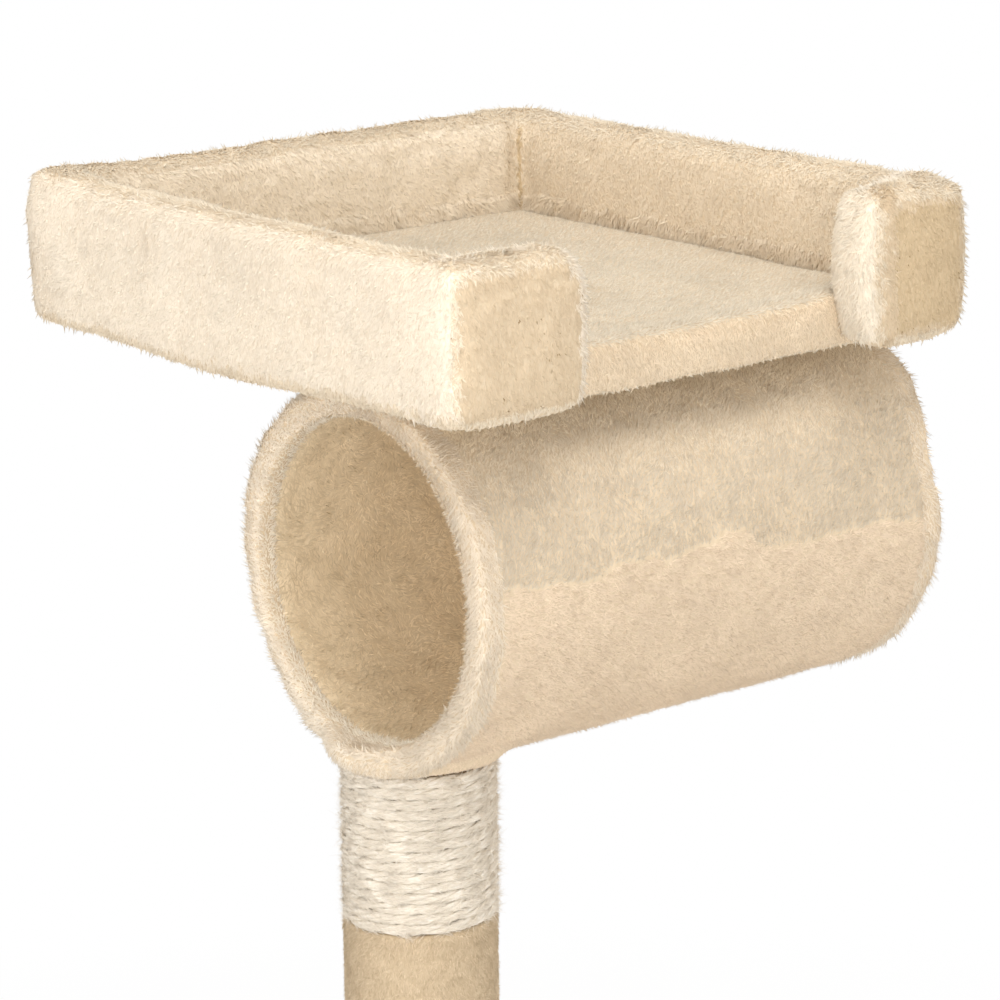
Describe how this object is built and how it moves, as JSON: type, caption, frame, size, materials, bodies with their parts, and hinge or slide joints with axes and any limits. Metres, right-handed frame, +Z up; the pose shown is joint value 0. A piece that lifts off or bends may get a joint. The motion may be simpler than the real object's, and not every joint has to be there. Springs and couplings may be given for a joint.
{
  "type": "cat tree",
  "caption": "Plush cat tree: a walled bed tray, open at the front, on a round plush tunnel, carried by a post with a sisal rope band on a plush base board.",
  "frame": {"origin": "middle of the base's underside, on the floor", "axes": "+Z up, the tray's open front faces -Y, the tunnel runs along X with its nearer mouth towards -X"},
  "size_m": [0.5, 0.5, 0.9335],
  "materials": {
    "tray_plush": "matte",
    "tunnel_plush": "matte",
    "lining_plush": "matte",
    "post_plush": "matte",
    "base_plush": "matte",
    "sisal": "matte",
    "board": "matte",
    "tube_card": "matte",
    "steel": "satin"
  },
  "bodies": {
    "root": {"base_board": "board", "base_cover": "base_plush", "base_bolt": "steel", "base_washer": "steel", "post_nut_plate": "steel", "post_foot_plug": "board", "post_tube": "tube_card", "post_saddle_plug": "board", "post_sleeve": "post_plush", "sisal_winding": "sisal", "tunnel_tube": "tube_card", "tunnel_cover": "tunnel_plush", "tunnel_lining": "lining_plush", "tunnel_screws": "steel", "tray_mount_screws": "steel", "tray_floor_board": "board", "tray_floor_cover": "tray_plush", "tray_left_board": "board", "tray_right_board": "board", "tray_back_board": "board", "tray_front_left_board": "board", "tray_front_right_board": "board", "tray_left_cover": "tray_plush", "tray_right_cover": "tray_plush", "tray_back_cover": "tray_plush", "tray_front_left_cover": "tray_plush", "tray_front_right_cover": "tray_plush"}
  },
  "joints": []
}
